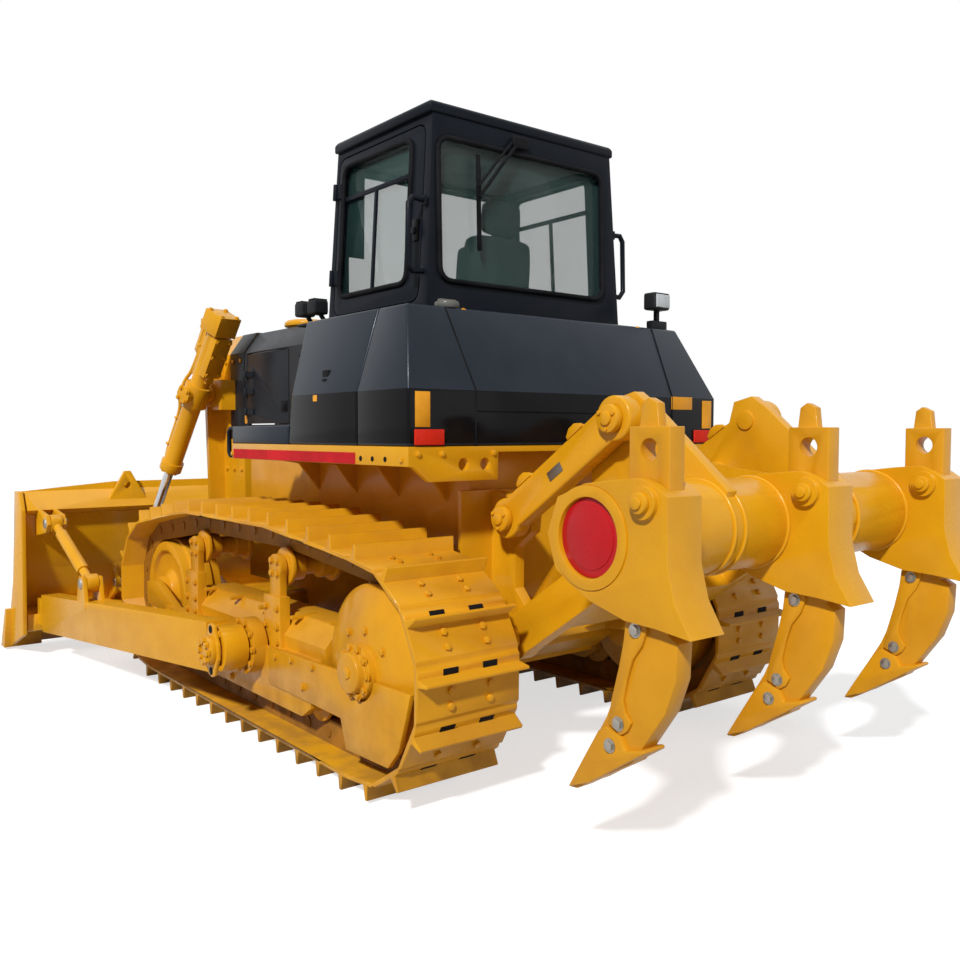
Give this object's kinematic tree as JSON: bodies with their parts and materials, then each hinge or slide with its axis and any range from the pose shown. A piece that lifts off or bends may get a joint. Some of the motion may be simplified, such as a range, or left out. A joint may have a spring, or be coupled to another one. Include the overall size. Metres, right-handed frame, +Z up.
{
  "type": "crawler bulldozer",
  "caption": "Crawler bulldozer with straight tilt blade, closed cab and three-shank parallelogram ripper; blade, ripper and doors move.",
  "frame": {"origin": "on the ground under the middle of the machine's bounding box", "axes": "+X forward, +Y left, +Z up"},
  "size_m": [6.046, 3.724, 3.35],
  "materials": {
    "yellow": "semi-gloss",
    "slate": "satin",
    "black": "satin",
    "steel": "worn",
    "chrome": "polished",
    "glass": "tinted",
    "seat": "woven",
    "plastic": "matte",
    "engine": "painted"
  },
  "bodies": {
    "chassis": {"cab_console": "plastic", "cab_frame": "black", "cab_glass": "glass", "cab_roof": "black", "cab_seat": "seat", "deck_strip": "slate", "engine": "engine", "engine_hood": "black", "equalizer_bar": "yellow", "final_drives": "yellow", "fuel_tank": "slate", "hull": "yellow", "idlers": "yellow", "platform": "yellow", "precleaner": "yellow", "radiator_grille": "black", "radiator_guard": "yellow", "ripper_bracket": "yellow", "rollers": "yellow", "side_boxes": "slate", "track_frames": "yellow", "track_left": "yellow", "track_right": "yellow"},
    "blade_assembly": {"blade": "yellow", "brace": "yellow", "tilt_cylinder": "yellow", "push_arm_left": "yellow", "push_arm_right": "yellow"},
    "lift_barrel_left": {"lift_barrel_left": "yellow"},
    "lift_barrel_right": {"lift_barrel_right": "yellow"},
    "lift_rod_left": {"lift_rod_left": "chrome"},
    "lift_rod_right": {"lift_rod_right": "chrome"},
    "cab_door_left": {"cab_door_left": "black", "door_glass_left": "glass"},
    "cab_door_right": {"cab_door_right": "black", "door_glass_right": "glass"},
    "engine_door_left": {"engine_door_left": "black"},
    "engine_door_right": {"engine_door_right": "black"},
    "ripper_links": {"ripper_links": "yellow"},
    "ripper_arm": {"ripper_arm": "yellow"},
    "ripper_beam": {"ripper_beam": "yellow", "ripper_holders": "yellow", "ripper_shanks": "yellow"},
    "ripper_barrels": {"ripper_barrels": "yellow"},
    "ripper_rods": {"ripper_rods": "chrome"}
  },
  "joints": [
    {"name": "blade_lift", "type": "hinge", "parent": "chassis", "child": "blade_assembly", "pos_m": [-0.197, 0, 0.515], "axis": [0, -1, 0], "range_deg": [-7.09, 21.64]},
    {"name": "lift_swing_left", "type": "hinge", "parent": "chassis", "child": "lift_barrel_left", "pos_m": [1.77886, 0.7661, 1.95028], "axis": [0.3387, -0.9403, 0.0323], "range_deg": [-7.32, 22.31]},
    {"name": "lift_stroke_left", "type": "slide", "parent": "lift_barrel_left", "child": "lift_rod_left", "axis": [0.4721, 0.1402, -0.8703], "range_m": [-0.8997, 0.2955]},
    {"name": "lift_swing_right", "type": "hinge", "parent": "chassis", "child": "lift_barrel_right", "pos_m": [1.77886, -0.7661, 1.95028], "axis": [-0.3387, -0.9403, -0.0323], "range_deg": [-7.32, 22.31]},
    {"name": "lift_stroke_right", "type": "slide", "parent": "lift_barrel_right", "child": "lift_rod_right", "axis": [0.4721, -0.1402, -0.8703], "range_m": [-0.8997, 0.2955]},
    {"name": "cab_door_left", "type": "hinge", "parent": "chassis", "child": "cab_door_left", "pos_m": [-0.119, 0.69203, 2.7925], "axis": [0, 0.0607, -0.9982], "range_deg": [0, 95]},
    {"name": "engine_door_left", "type": "hinge", "parent": "chassis", "child": "engine_door_left", "pos_m": [1.476, 0.516, 1.735], "axis": [0, 0, 1], "range_deg": [-90, 0]},
    {"name": "cab_door_right", "type": "hinge", "parent": "chassis", "child": "cab_door_right", "pos_m": [-0.119, -0.69203, 2.7925], "axis": [0, 0.0607, 0.9982], "range_deg": [0, 95]},
    {"name": "engine_door_right", "type": "hinge", "parent": "chassis", "child": "engine_door_right", "pos_m": [1.476, -0.516, 1.735], "axis": [0, 0, -1], "range_deg": [-90, 0]},
    {"name": "ripper_lift", "type": "hinge", "parent": "chassis", "child": "ripper_arm", "pos_m": [-1.547, 0, 0.68], "axis": [0, 1, 0], "range_deg": [-71.54, 21.94]},
    {"name": "ripper_link_swing", "type": "hinge", "parent": "chassis", "child": "ripper_links", "pos_m": [-1.487, 0, 1.255], "axis": [0, 1, 0], "range_deg": [-71.56, 21.96]},
    {"name": "ripper_beam_swing", "type": "hinge", "parent": "ripper_arm", "child": "ripper_beam", "pos_m": [-2.25168, 0, 1.15353], "axis": [0, 1, 0], "range_deg": [-21.96, 71.56]},
    {"name": "ripper_ram_swing", "type": "hinge", "parent": "chassis", "child": "ripper_barrels", "pos_m": [-1.417, 0, 0.72], "axis": [0, 1, 0], "range_deg": [-67.98, 20.86]},
    {"name": "ripper_ram_stroke", "type": "slide", "parent": "ripper_barrels", "child": "ripper_rods", "axis": [-0.6346, 0, 0.7728], "range_m": [-0.3319, 0.1025]}
  ],
  "couplings": [
    {"joint": "lift_swing_left", "follows": "blade_lift", "ratio": 1.03},
    {"joint": "lift_stroke_left", "follows": "blade_lift", "m_per_rad": -2.38},
    {"joint": "lift_swing_right", "follows": "blade_lift", "ratio": 1.03},
    {"joint": "lift_stroke_right", "follows": "blade_lift", "m_per_rad": -2.38},
    {"joint": "ripper_link_swing", "follows": "ripper_lift", "ratio": 1},
    {"joint": "ripper_beam_swing", "follows": "ripper_lift", "ratio": -1},
    {"joint": "ripper_ram_swing", "follows": "ripper_lift", "ratio": 0.95},
    {"joint": "ripper_ram_stroke", "follows": "ripper_lift", "m_per_rad": 0.265}
  ]
}
